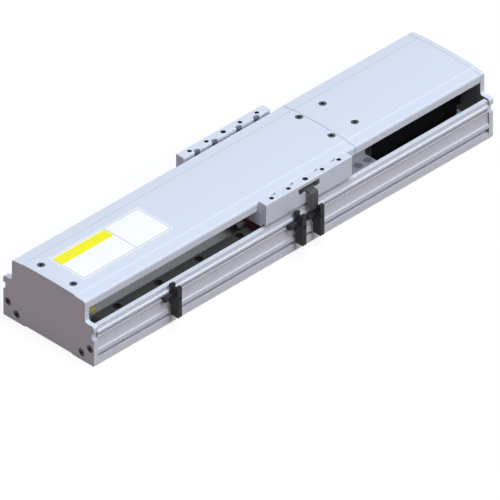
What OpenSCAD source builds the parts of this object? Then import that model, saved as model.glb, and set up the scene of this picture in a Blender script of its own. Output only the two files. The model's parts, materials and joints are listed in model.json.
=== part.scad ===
// Belt driven linear axis: covered module with two rails, an outboard carriage and an in-line motor.
// The origin is on the base's underside, at mid length and mid width. X runs along the axis
// towards the motor, Z is up. Dimensions are in millimetres.

/* [Axis] */
// Length over the end plates
axis_len = 594; // [570:1:700]
// Width of the base on each side of the motor
side_room = 37.7; // [36:0.1:45]
// Rise of the covers' crown over their crease lines
crown_rise = 1; // [0.5:0.1:2]
// Thickness of each end plate
plate_t = 6; // [4:0.5:10]
// Gap where one moving piece passes another
run_gap = 0.3; // [0.2:0.05:0.5]

/* [Base profile] */
// Height of the shelf beside the opening
shelf_z = 47.9; // [46:0.1:48.2]
// Height of the rails' seat
bed_z = 20.5; // [19:0.1:21]
// Height of the belt channel's floor
floor_z = 15; // [13:0.1:17]
// Wall between the opening and the outside face
side_wall = 7.5; // [7:0.1:9]
// Depth of the relief under the base
relief_h = 1.35; // [0.5:0.05:2.5]
// Width of each foot strip
foot_w = 31.5; // [25:0.5:34]
// Height of the lower side slot's mouth
low_slot_mouth = 4.1; // [3:0.1:5]
// Height of the upper side slot's mouth
high_slot_mouth = 2.8; // [2.4:0.1:3.4]

/* [Covers] */
// Distance of the covers' outer faces in from the base's sides
cover_in = 13.2; // [12:0.1:14.5]
// Thickness of the covers' top
cover_t = 3.4; // [3:0.1:4]
// Thickness of the covers' lips
lip_t = 2.6; // [2:0.1:3.5]
// Distance of each crease line in from the cover's side
crease_in = 15; // [10:0.1:19]
// Step down outside each crease line
crease_step = 0.9; // [0.3:0.1:1.2]
// Depth of the lips below the crown
lip_drop = 12.8; // [11:0.1:14.5]
// Distance of the cover screws in from the motor's sides
cover_screw_in = 5.8; // [4:0.1:7]

/* [Rails and blocks] */
// Rail width
rail_w = 15; // [14:0.5:16]
// Rail height
rail_h = 15; // [14:0.5:16]
// Clearance between a guide block and the base's wall
block_side_gap = 1; // [0.5:0.1:2]
// Distance between rail screws
rail_hole_pitch = 60; // [50:1:70]
// Width of a guide block
block_w = 34; // [32:0.5:34.6]
// Length of a guide block over its end caps
block_len = 61.4; // [56:0.2:62]
// Thickness of a guide block's end cap
block_cap_t = 4.5; // [3:0.1:6]
// Bolt spacing on a guide block, both ways
block_bolt_pitch = 26; // [24:0.5:28]
// Gap between two blocks on one rail
block_gap = 0.6; // [0.4:0.2:4]

/* [Carriage] */
// Distance of the carriage from its right stop at rest
rest_gap = 5; // [5:0.5:40]
// Carriage plate's length beyond the guide blocks, both ends together
carriage_over = 4.6; // [3.6:0.1:6]
// Distance of the wings' outer faces in from the base's sides
wing_set_in = 0.6; // [0.5:0.1:2]
// Thickness of each wing
wing_t = 11.6; // [10.5:0.1:12]
// Height of the wings' lower edge
wing_foot_z = 53.4; // [52:0.1:56]
// Underside of the carriage plate, on the guide blocks
slab_z = 48.5; // [48.5:0.1:49.5]
// Height of the carriage plate's middle above the belt
slab_over = 0.7; // [0.5:0.1:1.5]
// Pitch of the tapped holes along a wing
wing_hole_pitch = 25; // [24:0.5:26]
// Bore of the wings' tapped holes
wing_hole_d = 5; // [4:0.1:5.5]
// Bore of the wings' dowel holes
dowel_d = 6; // [4:0.1:6.2]
// Distance of each row of wing holes in from the wing's outer face
wing_hole_in = 5.9; // [5.5:0.1:6.3]
// Depth of the wings' tapped holes
wing_hole_depth = 12; // [8:0.5:14]
// Depth of the wings' dowel holes
dowel_depth = 10; // [6:0.5:12]

/* [Belt drive] */
// Idler pulley centre from the end plate
idler_in = 17.8; // [17.5:0.1:18.2]
// Free length behind the motor
motor_back_gap = 4.3; // [4:0.1:20]
// Teeth on each pulley
pulley_teeth = 16; // [15:1:16]
// Belt pitch
belt_pitch = 5; // [5:0.05:5.1]
// Belt width
belt_w = 20; // [16:0.5:21]
// Belt thickness behind the teeth
belt_back = 1.74; // [1.4:0.02:2]
// Height of a belt tooth
tooth_h = 2.06; // [1.8:0.02:2.2]
// Width of a belt tooth
tooth_w = 3; // [2.6:0.05:3.2]
// Pulley flange thickness
flange_t = 1.2; // [0.8:0.1:1.5]
// Shaft diameter
shaft_d = 10; // [8:0.5:10]
// Bearing outer diameter
bearing_d = 26; // [24:0.5:28]
// Bearing width
bearing_w = 8; // [6:0.5:9]

/* [Bevel gears and motor] */
// Module of the bevel gears at their large end
bevel_module = 1.75; // [1.7:0.05:1.75]
// Teeth on the wheel
wheel_teeth = 24; // [24:1:24]
// Teeth on the pinion
pinion_teeth = 18; // [18:1:18]
// Length of the bevel teeth along the pinion's axis
bevel_face = 4.1; // [3.5:0.1:4.2]
// Motor body width and height
motor_w = 59.6; // [56:0.2:59.6]
// Motor body length without its end cap
motor_len = 111; // [90:1:112]
// Motor flange thickness
motor_flange_t = 8.6; // [6:0.2:10]
// Length of the encoder cap
encoder_len = 24.6; // [18:0.2:26]

/* [Sensors and flag] */
// Distance of the left sensor from the idler housing
left_sensor_off = 71.9; // [60:0.1:90]
// Distance of the middle sensor before the flag's centre at rest
middle_sensor_off = 24; // [20:0.5:60]
// Distance of the right sensor after the flag's centre at rest
right_sensor_off = 2.6; // [1:0.1:5]
// Sensor thickness along the axis
sensor_t = 5.7; // [5:0.1:6.5]
// Sensor depth outwards
sensor_d = 13.5; // [13:0.1:15]
// Sensor height
sensor_h = 38; // [36:0.5:40]
// Height of the sensors' lower end
sensor_z = 13.8; // [13:0.1:14.5]
// Width of the sensors' slot
sensor_gap = 5; // [4.6:0.1:6]
// Width of the flag
flag_w = 10.6; // [8:0.2:14]
// Sheet thickness of the flag
flag_t = 1.5; // [1:0.1:2]
// Height of the flag's lower end
flag_z = 47; // [45:0.5:48]
// Depth of the flag's pocket below the carriage's top
pocket_drop = 4.3; // [3.5:0.1:5]

/* [Fasteners] */
// Cover screw head diameter
cover_head_d = 7.6; // [7:0.1:8]
// Plate screw head diameter
plate_head_d = 8.5; // [8:0.1:9]
// Small socket head diameter
small_head_d = 7; // [6.6:0.1:7.2]
// Play of a screw head in its counterbore
head_play = 0.5; // [0.3:0.05:0.8]
// Diameter of the base's tapped holes
base_hole_d = 5; // [4:0.1:6]

/* [Hidden] */

$fn = 48;
eps = 0.01;
deep = 200;

// Base profile section
half_len = axis_len / 2;
profile_half = half_len - plate_t;
half_w = motor_w / 2 + side_room;
wall_in = half_w - side_wall;
foot_in = half_w - foot_w;
relief_ramp = 2.5;
foot_chamfer = 0.6;
low_slot_z = 9.8;
low_cavity_h = 8.4;
low_lip = 1.9;
low_cavity_d = 5;
rail_y = wall_in - block_side_gap - block_w / 2;
bed_half = rail_w / 2 + 2;
bed_edge = 1;
channel_half = rail_y - bed_half - bed_edge;
ledge_z = 18.8;
recess_in = 1.8;
recess_top_z = 32;
bevel_top_z = 34.8;
high_slot_z = 36.6;
high_cavity_h = 6;
high_lip = 1.5;
high_cavity_d = 3.2;
upper_ledge_z = 42.2;
upper_in = 2.2;
gutter_z = bed_z - 2.5;
entry_len = 7;
entry_z = 7;
entry_h = 6.4;
chamber_top = floor_z - 3.5;
chamber_z = 4.6;
chamber_rib = 3;
side_chamber_w = 14;
side_chamber_h = 4.4;

// Places along the axis, from the end plates inwards
idler_x0 = -profile_half;
idler_x = idler_x0 + idler_in;
idler_back = 14.3;
idler_block_len = 4.3;
bumper_x0 = idler_x0 + idler_block_len;
idler_x1 = idler_x + idler_back;
motor_foot_gap = 0.3;
motor_top_gap = 0.4;
axis_z = floor_z + motor_foot_gap + motor_w / 2;
wheel_r = bevel_module * wheel_teeth / 2;
pinion_r = bevel_module * pinion_teeth / 2;
wheel_back = 3;
pinion_back = 4;
pinion_gap = 0.5;
drive_front = 22;
drive_back = wheel_r + pinion_back + pinion_gap;
drive_x = profile_half - motor_back_gap - encoder_len - motor_len - motor_flange_t - drive_back;
drive_x0 = drive_x - drive_front;
drive_x1 = drive_x + drive_back;
rail_gap_left = 24;
rail_gap_right = 2;
rail_x0 = idler_x0 + rail_gap_left;
rail_len = drive_x0 - rail_gap_right - rail_x0;
block_pitch = block_len + block_gap;
carriage_len = block_len + block_pitch + carriage_over;
stud_len = [5.8, 3];
bumper_len = [26.9, 3.5];
right_stop_x = drive_x0 - bumper_len[1] - run_gap;
carriage_x = right_stop_x - rest_gap - stud_len[1] - (block_pitch + block_len) / 2;
left_sensor_x = idler_x1 + left_sensor_off;
middle_sensor_x = carriage_x - middle_sensor_off;
right_sensor_x = carriage_x + right_sensor_off;

// Rails
rail_holes = floor(rail_len / rail_hole_pitch);
rail_first = rail_x0 + (rail_len - (rail_holes - 1) * rail_hole_pitch) / 2;
rail_head_d = 7.5;
rail_shank_d = 4;
rail_head_depth = 5.3;
rail_screw_grip = 9;
head_h = 4;
shaft_fit = 0.02;

// Covers
cover_half = half_w - cover_in;
cover_corner = 3.2;
crease_half = cover_half - crease_in;
cover_in_z = axis_z + motor_w / 2 + motor_top_gap;
crease_over = 0.7;
crease_z = cover_in_z + cover_t - crease_over;
crown_z = crease_z + crown_rise;
lip_z = crown_z - lip_drop;
crown_r = (crease_half * crease_half + crown_rise * crown_rise) / (2 * crown_rise);
side_top_z = crease_z - crease_step;
side_fall = 0.7;
seam_off = 8.2;
seam_gap = 0.4;
seam_x = drive_x0 + seam_off;
cover_bore = 4.4;
cover_screw_y = motor_w / 2 - cover_screw_in;
cover_head_h = 2.2;
cover_counterbore = 2.4;
hole_chamfer = 0.5;
cover_grip = 8;
left_screw_x = idler_x0 + 7;
seam_screw_in = 5.4;
motor_screw_in = 9.7;
seam_screw_x = [seam_x - seam_screw_in, drive_x1 - motor_screw_in];

// End plates
shoulder_z = shelf_z + 2.6;
shoulder_in = 2;
notch_z = [33.5, 42.2];
notch_in = 3.2;
plate_fillet = 3;
plate_screw_in = [19.3, 6.5];
plate_screw_z = [9, 19.5];
plate_screws = [for (i = [0, 1]) [half_w - plate_screw_in[i], plate_screw_z[i]]];
plate_bore = 5;
plate_head_h = 4.5;
plate_grip = 14;
plate_rim_r = (plate_head_d + head_play) / 2;

// Carriage and blocks
wing_out = half_w - wing_set_in;
wing_hole_y = wing_out - wing_hole_in;
wing_in = wing_out - wing_t;
slab_foot = block_w / 2 + rail_y;
shoulder_gap = 0.6;
raised_z = lip_z - shoulder_gap;
raised_in = 23.5;
edge_chamfer = 0.5;
hole_mouth = 0.25;
block_h = 23.7;
block_z = slab_z - block_h;
block_body_len = block_len - 2 * block_cap_t;
bolt_d = 4;
bolt_grip = 8;
bolt_head_d = 7;
bolt_cut_d = 8;
bolt_seat = 6;
clamp_len = 60;
clamp_half = belt_w / 2 + 11;
clamp_h = 8;
clamp_bolt_x = 22;
clamp_bolt_y = belt_w / 2 + 6;
pocket_half = 15.5;
pocket_h = 7.3;
pocket_z = [crown_z - pocket_drop - pocket_h, crown_z - pocket_drop];
pocket_d = 2.8;
stud_d = 8;
stud_in = 12;
stud_y = rail_y - stud_in;
stud_z = 38.4;
stud_thread_d = 5;
stud_grip = 5.5;

// Belt and pulleys
pitch_r = pulley_teeth * belt_pitch / (2 * PI);
pulley_r = pitch_r - 0.57;
land_r = pulley_r + run_gap;
back_r = land_r + belt_back;
groove_r = tooth_w / 2 + 0.05;
flange_r = back_r + 2.3;
pulley_half = belt_w / 2 + 0.4 + flange_t;
run_top = axis_z + back_r;
slab_top = run_top + slab_over;
clamp_top_z = slab_top + clamp_h;
tooth_clear = 8;

// Idler and drive housings
cheek_in = pulley_half + 0.5;
cheek_half = rail_y - rail_w / 2 - 0.5;
idler_web_t = 9;
housing_top = cover_in_z;
ring_t = 2.2;
ring_step = 0.5;
bumper_d = 7;
bumper_neck_d = 4;
bumper_neck = 3.5;
bearing_wall = 1;
cheek_out = stud_y - stud_d / 2 - 0.5;
idler_bearing_out = cheek_out - bearing_wall;
idler_lug_len = 11.5;
tower_half = motor_w / 2;
drive_bearing_out = tower_half - bearing_wall;
drive_lug_len = 9;
foot_top = 35.5;
foot_half = wall_in - 1;
foot_bolt_off = [4.9, 19.4];
foot_bolt_x = [for (dx = foot_bolt_off) drive_x + dx];
foot_bolt_in = 9.9;
foot_bolt_y = tower_half + foot_bolt_in;
foot_head_d = 10;
foot_seat = 5.4;
foot_bolt_d = 5;
foot_bolt_head_h = 5;
foot_bolt_grip = 8.5;
plug_t = 0.8;

// Bevel gears: both cones meet at the drive shaft's centre
bevel_small = (wheel_r - bevel_face) / wheel_r;
tooth_thin = 0.2;
motor_shaft_d = 9;

// Motor
motor_x0 = drive_x1;
body_x0 = motor_x0 + motor_flange_t;
body_x1 = body_x0 + motor_len;
encoder_x1 = body_x1 + encoder_len;
motor_corner = 4;
flange_notch = 9.5;
flange_notch_half = 18.6;
motor_bolt = motor_w / 2 - 5.2;
motor_pocket_r = 11.5;
motor_pocket_len = 7;
encoder_step = 5.3;
encoder_step_z = axis_z - 16;
encoder_in = 1;

// Sensors
sensor_y = -(half_w + 0.4);
sensor_foot_in = 2.2;
sensor_step_z = 26.7;
sensor_slot_z = 43;
flag_out = 7;
flag_y = -half_w - flag_out;
flag_arm_z = pocket_z[0] + 0.6;
flag_bend = 3;
stub_d = 7;
stub_len = 11;
stub_z = 38.4;
nut_len = 6;

colour_plate = [0.85, 0.87, 0.91];
colour_profile = [0.74, 0.75, 0.8];
colour_steel = [0.7, 0.72, 0.74];
colour_black = [0.12, 0.12, 0.13];
colour_rail = [0.27, 0.28, 0.26];
colour_cap = [0.3, 0.1, 0.12];
colour_housing = [0.55, 0.56, 0.6];
colour_bumper = [0.75, 0.72, 0.2];

// Sections are drawn across the axis, with y to the right and z up, and run from x0 to x1
module along_x(x0, x1) {
    translate([x0, 0, 0]) rotate([90, 0, 90]) linear_extrude(x1 - x0) children();
}

module both() {
    children();
    mirror([0, 1, 0]) children();
}

// An outline and its mirror image across z, as one list of points
function mirrored(points) =
    concat(points, [for (i = [len(points) - 1 : -1 : 0]) [-points[i][0], points[i][1]]]);

module both_2d() {
    children();
    mirror([1, 0]) children();
}

module rod_x(d, x0, x1) {
    translate([x0, 0, 0]) rotate([0, 90, 0]) cylinder(d = d, h = x1 - x0);
}

module rod_y(d, y0, y1) {
    translate([0, y1, 0]) rotate([90, 0, 0]) cylinder(d = d, h = y1 - y0);
}

module rod_z(d, z0, z1) {
    translate([0, 0, z0]) cylinder(d = d, h = z1 - z0);
}

// A socket screw that points down: its head's underside is at z = 0
module socket_screw(head_d, head_len, shank_d, grip) {
    difference() {
        union() {
            rod_z(head_d, 0, head_len);
            rod_z(shank_d, -grip, eps);
        }
        translate([0, 0, head_len * 0.45]) cylinder(d = head_d * 0.55, h = head_len, $fn = 6);
    }
}

// The base's section without slots
module base_solid() {
    polygon(mirrored([
        [foot_in - relief_ramp, relief_h], [foot_in, 0],
        [half_w - foot_chamfer, 0], [half_w, foot_chamfer],
        [half_w, ledge_z], [half_w - recess_in, ledge_z],
        [half_w - recess_in, recess_top_z], [half_w, bevel_top_z],
        [half_w, upper_ledge_z], [half_w - upper_in, upper_ledge_z],
        [half_w - upper_in, shelf_z], [wall_in, shelf_z],
        [wall_in, gutter_z], [rail_y + bed_half, gutter_z], [rail_y + bed_half, bed_z],
        [rail_y - bed_half, bed_z], [channel_half, floor_z]
    ]));
}

module side_slot(z0, mouth, cavity_h, lip, cavity_d) {
    translate([half_w - lip - eps, z0]) square([deep, mouth]);
    translate([half_w - lip - cavity_d, z0 + (mouth - cavity_h) / 2]) square([cavity_d, cavity_h]);
}

module base_section() {
    difference() {
        base_solid();
        both_2d() {
            side_slot(low_slot_z, low_slot_mouth, low_cavity_h, low_lip, low_cavity_d);
            side_slot(high_slot_z, high_slot_mouth, high_cavity_h, high_lip, high_cavity_d);
            translate([chamber_rib, chamber_z])
                square([channel_half - 2 * chamber_rib, chamber_top - chamber_z]);
            translate([channel_half, chamber_z]) square([side_chamber_w, side_chamber_h]);
        }
    }
}

base_hole_end = 51;
base_hole_in = 14.5;
base_holes_x = [80, profile_half - base_hole_end];
base_hole_y = half_w - base_hole_in;
base_hole_depth = 10;

module base_profile() {
    color(colour_profile) difference() {
        along_x(-profile_half, profile_half) base_section();
        for (x = base_holes_x, sx = [-1, 1], sy = [-1, 1])
            translate([sx * x, sy * base_hole_y, 0]) rod_z(base_hole_d, -1, base_hole_depth);
        for (i = [0 : rail_holes - 1], s = [-1, 1])
            translate([rail_first + i * rail_hole_pitch, s * rail_y, bed_z])
                rod_z(rail_shank_d + shaft_fit, -rail_screw_grip, 1);
        for (p = plate_screws, sx = [-1, 1], sy = [-1, 1])
            translate([sx * profile_half, sy * p[0], p[1]])
                rod_x(plate_bore + shaft_fit, -plate_grip, plate_grip);
        for (x = foot_bolt_x, s = [-1, 1])
            translate([x, s * foot_bolt_y, bed_z]) rod_z(foot_bolt_d + shaft_fit, -foot_bolt_grip - 0.5, 1);
        for (x = idler_bolt_x) translate([x, 0, floor_z]) rod_z(foot_bolt_d + shaft_fit, -foot_bolt_grip - 0.5, 1);
        translate([profile_half - entry_len, -half_w - 1, entry_z])
            cube([deep, low_lip + 2, entry_h]);
    }
}

// Half of an end plate's outline below the cover
module plate_half() {
    difference() {
        union() {
            polygon([
                [0, relief_h], [foot_in - relief_ramp, relief_h], [foot_in, 0],
                [half_w - foot_chamfer, 0], [half_w, foot_chamfer],
                [half_w, shoulder_z - shoulder_in], [half_w - shoulder_in, shoulder_z],
                [cover_half, shoulder_z], [0, shoulder_z]
            ]);
            translate([cover_half - eps, shoulder_z - eps]) difference() {
                square(plate_fillet);
                translate([plate_fillet, plate_fillet]) circle(plate_fillet);
            }
        }
        translate([half_w, 0]) hull() {
            translate([0, notch_z[0] + 1.5]) circle(1.5, $fn = 24);
            translate([0, notch_z[1] - 1.5]) circle(1.5, $fn = 24);
            translate([1.5 - notch_in, notch_z[0] + 1.5]) circle(1.5, $fn = 24);
            translate([1.5 - notch_in, notch_z[1] - 1.5]) circle(1.5, $fn = 24);
        }
    }
}

// Half of the covers' outer form, down to z0
module crown_half(z0) {
    translate([0, z0]) square([cover_half, side_top_z - side_fall - cover_corner - z0]);
    polygon([
        [0, side_top_z - side_fall - cover_corner - eps],
        [cover_half, side_top_z - side_fall - cover_corner - eps],
        [cover_half, side_top_z - side_fall - cover_corner],
        [cover_half - cover_corner, side_top_z - side_fall],
        [crease_half + crease_step, side_top_z], [0, side_top_z]
    ]);
    translate([cover_half - cover_corner, side_top_z - side_fall - cover_corner])
        circle(cover_corner);
    intersection() {
        polygon([
            [0, z0], [crease_half + crease_step, z0], [crease_half + crease_step, side_top_z],
            [crease_half, crease_z], [crease_half, crown_z + 1], [0, crown_z + 1]
        ]);
        translate([0, crown_z - crown_r]) circle(crown_r, $fn = 720);
    }
}

module plate_outline() {
    both_2d() {
        plate_half();
        crown_half(shoulder_z - 1);
    }
}

module end_plate() {
    difference() {
        along_x(profile_half, half_len) plate_outline();
        for (p = plate_screws, s = [-1, 1]) translate([0, s * p[0], p[1]]) {
            rod_x(plate_bore + head_play, profile_half - 1, half_len + 1);
            rod_x(plate_head_d + head_play, half_len - plate_head_h - 0.2, half_len + 1);
            translate([half_len - hole_chamfer, 0, 0]) rotate([0, 90, 0])
                cylinder(r1 = plate_rim_r, r2 = plate_rim_r + 2 * hole_chamfer, h = 2 * hole_chamfer);
        }
    }
}

module left_end_plate() {
    color(colour_plate) mirror([1, 0, 0]) end_plate();
}

module right_end_plate() {
    color(colour_plate) end_plate();
}

module plate_screw_set() {
    for (p = plate_screws, s = [-1, 1])
        translate([half_len - plate_head_h - 0.2, s * p[0], p[1]]) rotate([0, 90, 0])
            socket_screw(plate_head_d, plate_head_h, plate_bore, plate_grip);
}

module left_plate_screws() {
    color(colour_steel) mirror([1, 0, 0]) plate_screw_set();
}

module right_plate_screws() {
    color(colour_steel) plate_screw_set();
}

module cover_section() {
    both_2d() difference() {
        crown_half(lip_z);
        translate([-1, lip_z - 1]) square([cover_half - lip_t + 1, cover_in_z - lip_z + 1]);
    }
}

module cover(x0, x1, screw_x) {
    difference() {
        along_x(x0, x1) cover_section();
        for (x = screw_x, s = [-1, 1]) translate([x, s * cover_screw_y, 0]) {
            rod_z(cover_bore, cover_in_z - 1, crown_z + 1);
            rod_z(cover_head_d + head_play, cover_seat_z, crown_z + 1);
            translate([0, 0, screw_rim_z - hole_chamfer])
                cylinder(r1 = rim_r, r2 = rim_r + 2 * hole_chamfer, h = 2 * hole_chamfer);
        }
    }
}

rim_r = (cover_head_d + head_play) / 2;
screw_rim_z = crown_z - crown_r + sqrt(crown_r * crown_r - cover_screw_y * cover_screw_y);
cover_seat_z = screw_rim_z - cover_counterbore;

module main_cover() {
    color(colour_plate) cover(-profile_half, seam_x - seam_gap / 2, [left_screw_x, seam_screw_x[0]]);
}

module motor_cover() {
    color(colour_plate) cover(seam_x + seam_gap / 2, profile_half, [seam_screw_x[1]]);
}

module cover_screws() {
    color(colour_black)
        for (x = [left_screw_x, seam_screw_x[0], seam_screw_x[1]], s = [-1, 1])
            translate([x, s * cover_screw_y, cover_seat_z])
                socket_screw(cover_head_d, cover_head_h, bolt_d, cover_grip);
}

// A rail's section above its seat, grown by a gap all round
module rail_section(gap) {
    r = rail_w / 2 + gap;
    waist = 1.3;
    polygon(mirrored([
        [r, 0], [r, rail_h * 0.3], [r - waist, rail_h * 0.4], [r - waist, rail_h * 0.57],
        [r, rail_h * 0.7], [r, rail_h - 0.7 + gap], [r - 0.7, rail_h + gap]
    ]));
}

module rail(y) {
    difference() {
        translate([0, y, bed_z]) along_x(rail_x0, rail_x0 + rail_len) rail_section(0);
        for (i = [0 : rail_holes - 1])
            translate([rail_first + i * rail_hole_pitch, y, bed_z + rail_h]) {
                rod_z(rail_shank_d + head_play, -rail_h - 1, 1);
                rod_z(rail_head_d + head_play, -rail_head_depth, 1);
            }
    }
}

module front_rail() {
    color(colour_rail) rail(-rail_y);
}

module back_rail() {
    color(colour_rail) rail(rail_y);
}

module rail_screws() {
    color(colour_black) for (i = [0 : rail_holes - 1], s = [-1, 1])
        translate([rail_first + i * rail_hole_pitch, s * rail_y, bed_z + rail_h - rail_head_depth])
            socket_screw(rail_head_d, head_h, rail_shank_d,
                         rail_h - rail_head_depth + rail_screw_grip - 0.5);
}

// The idler's U-shaped housing stands on the channel's floor
idler_bolt_x = [idler_x + 6];
idler_bolt_head = 8.5;
idler_lug_z = axis_z + bearing_d / 2 + 1.5;

module idler_housing() {
    color(colour_housing) difference() {
        union() {
            both() translate([idler_x0, cheek_in, bed_z]) {
                cube([idler_block_len, cheek_half - cheek_in, housing_top - bed_z]);
                cube([idler_x1 - idler_x0, cheek_out - cheek_in, housing_top - bed_z]);
            }
            both() translate([idler_x0, cheek_in, idler_lug_z])
                cube([idler_lug_len, cheek_half - cheek_in, housing_top - idler_lug_z]);
            translate([idler_x0, -channel_half + 2.5, floor_z])
                cube([idler_x1 - idler_x0, 2 * channel_half - 5, idler_web_t]);
        }
        translate([idler_x, 0, axis_z]) {
            rod_y(shaft_d + 4, -cheek_half - 1, cheek_half + 1);
            both() rod_y(bearing_d + 2 * shaft_fit, idler_bearing_out - bearing_w, cheek_half + 1);
        }
        for (s = [-1, 1]) {
            translate([left_screw_x, s * cover_screw_y, housing_top])
                rod_z(bolt_d + shaft_fit, -cover_grip, 1);
            translate([0, s * stud_y, stud_z])
                rod_x(bumper_neck_d + shaft_fit, bumper_x0 - bumper_neck, bumper_x0 + 1);
            translate([0, s * tension_y, axis_z])
                rod_x(tension_d + shaft_fit, idler_x0 - 1, idler_x - bearing_d / 2 + 1);
        }
        for (x = idler_bolt_x) translate([x, 0, floor_z]) {
            rod_z(foot_bolt_d + head_play, -1, idler_web_t + 1);
            rod_z(idler_bolt_head + head_play, idler_web_t - foot_seat, idler_web_t + 1);
        }
    }
}

module idler_housing_screws() {
    color(colour_steel) for (x = idler_bolt_x)
        translate([x, 0, floor_z + idler_web_t - foot_seat])
            socket_screw(idler_bolt_head, foot_bolt_head_h, foot_bolt_d,
                         idler_web_t - foot_seat + foot_bolt_grip);
}

// Set screws behind the bearings hold the belt's tension
tension_y = idler_bearing_out - bearing_w / 2;
tension_d = 4;

module tension_screws() {
    color(colour_black) both() translate([0, tension_y, axis_z]) difference() {
        rod_x(tension_d, idler_x0 + 0.5, idler_x - bearing_d / 2);
        translate([idler_x0, 0, 0]) rotate([0, 90, 0]) cylinder(d = 2, h = 2.5, $fn = 6);
    }
}

module bearing_pair(x, y1) {
    both() translate([x, 0, axis_z]) difference() {
        rod_y(bearing_d, y1 - bearing_w, y1);
        rod_y(shaft_d + 2 * shaft_fit, y1 - bearing_w - 1, y1 + 1);
        difference() {
            rod_y(bearing_d - 2 * ring_t, y1 - ring_step, y1 + 1);
            rod_y(shaft_d + 2 * ring_t, y1 - 1, y1 + 2);
        }
    }
}

module idler_bearings() {
    color(colour_steel) bearing_pair(idler_x, idler_bearing_out);
}

module idler_shaft() {
    color(colour_steel) translate([idler_x, 0, axis_z])
        rod_y(shaft_d, -idler_bearing_out, idler_bearing_out);
}

module pulley_section() {
    difference() {
        circle(pulley_r);
        for (i = [0 : pulley_teeth - 1])
            rotate(i * 360 / pulley_teeth) translate([0, pulley_r - tooth_h + groove_r])
                circle(groove_r, $fn = 24);
        circle(d = shaft_d + 2 * shaft_fit);
    }
}

module pulley(x) {
    translate([x, 0, axis_z]) {
        translate([0, pulley_half - flange_t / 2, 0]) rotate([90, 0, 0])
            linear_extrude(2 * pulley_half - flange_t) pulley_section();
        both() difference() {
            rod_y(2 * flange_r, pulley_half - flange_t, pulley_half);
            rod_y(shaft_d + 2 * shaft_fit, 0, deep);
        }
    }
}

module idler_pulley() {
    color(colour_steel) pulley(idler_x);
}

module bumper(x, dir, len) {
    for (s = [-1, 1]) translate([x, s * stud_y, stud_z]) rotate([0, 0, dir > 0 ? 0 : 180]) {
        rod_x(bumper_d, 0, len);
        rod_x(bumper_neck_d, -bumper_neck + run_gap, eps);
    }
}

module end_bumpers() {
    color(colour_bumper) {
        bumper(bumper_x0, 1, bumper_len[0]);
        bumper(drive_x0, -1, bumper_len[1]);
    }
}

// The drive housing holds the pulley between its cheeks and the bevel gears behind it
gear_room_r = wheel_r + 2.6;

module drive_housing() {
    color(colour_housing) difference() {
        union() {
            translate([drive_x0, -tower_half, bed_z])
                cube([drive_x1 - drive_x0, 2 * tower_half, housing_top - bed_z]);
            translate([drive_x0, -cheek_half, bed_z])
                cube([drive_lug_len, 2 * cheek_half, stud_z + bumper_d / 2 + 1 - bed_z]);
            translate([drive_x0, -channel_half + 2.5, floor_z])
                cube([drive_x1 - drive_x0, 2 * channel_half - 5, bed_z - floor_z + 1]);
            translate([drive_x0, -foot_half, bed_z])
                cube([drive_x1 - drive_x0, 2 * foot_half, foot_top - bed_z]);
        }
        // Room for the belt and the pulley, open towards the carriage
        translate([drive_x0 - 1, -cheek_in, axis_z - flange_r - 1])
            cube([drive_x - drive_x0 + 1, 2 * cheek_in, 2 * flange_r + 2]);
        translate([drive_x, 0, axis_z]) {
            rod_y(2 * flange_r + 2, -cheek_in, cheek_in);
            rod_y(2 * gear_room_r, 0, drive_bearing_out - bearing_w);
            rod_y(shaft_d + 4, 0, tower_half + 1);
            both() rod_y(bearing_d + 2 * shaft_fit, cheek_in - eps, drive_bearing_out);
            rod_x(2 * pinion_r + 6, 0, drive_x1 - drive_x + 1);
        }
        for (x = foot_bolt_x, s = [-1, 1]) translate([x, s * foot_bolt_y, 0]) {
            rod_z(foot_bolt_d + head_play, bed_z - 1, foot_top + 1);
            rod_z(foot_head_d, foot_top - foot_seat - plug_t, foot_top + 1);
        }
        for (x = seam_screw_x, s = [-1, 1])
            translate([x, s * cover_screw_y, housing_top]) rod_z(bolt_d + shaft_fit, -cover_grip, 1);
        for (s = [-1, 1]) translate([0, s * stud_y, stud_z])
            rod_x(bumper_neck_d + shaft_fit, drive_x0 - 1, drive_x0 + bumper_neck);
        for (y = [-motor_bolt, motor_bolt], z = [-motor_bolt, motor_bolt])
            translate([0, y, axis_z + z]) rod_x(bolt_d + shaft_fit, drive_x1 - 6, drive_x1 + 1);
    }
}

// A flat plug closes each counterbore over its screw
module drive_housing_screws() {
    color(colour_steel) for (x = foot_bolt_x, s = [-1, 1])
        translate([x, s * foot_bolt_y, foot_top - foot_seat - plug_t]) {
            rod_z(foot_bolt_d, -(foot_top - foot_seat - plug_t - bed_z + foot_bolt_grip), eps);
            rod_z(plate_head_d, 0, foot_bolt_head_h + eps);
            translate([0, 0, foot_bolt_head_h]) rod_z(foot_head_d - 2 * shaft_fit, 0, plug_t);
        }
}

module drive_bearings() {
    color(colour_steel) bearing_pair(drive_x, drive_bearing_out);
}

module drive_shaft() {
    color(colour_steel) translate([drive_x, 0, axis_z])
        rod_y(shaft_d, -drive_bearing_out, drive_bearing_out);
}

module drive_pulley() {
    color(colour_steel) pulley(drive_x);
}

// Straight bevel teeth: the profile shrinks towards the cones' common point
module bevel_profile(teeth, r, tip, root) {
    half_t = PI * bevel_module / 4 - tooth_thin;
    root_half = atan((half_t + root * tan(20)) / (r - root));
    tip_half = atan((half_t - tip * tan(20)) / (r + tip));
    polygon([for (i = [0 : teeth - 1], k = [[-1, 0], [-1, 1], [1, 1], [1, 0]])
        let (a = i * 360 / teeth + k[0] * (k[1] == 0 ? root_half : tip_half),
             d = k[1] == 0 ? r - root : r + tip) [d * cos(a), d * sin(a)]]);
}

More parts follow.
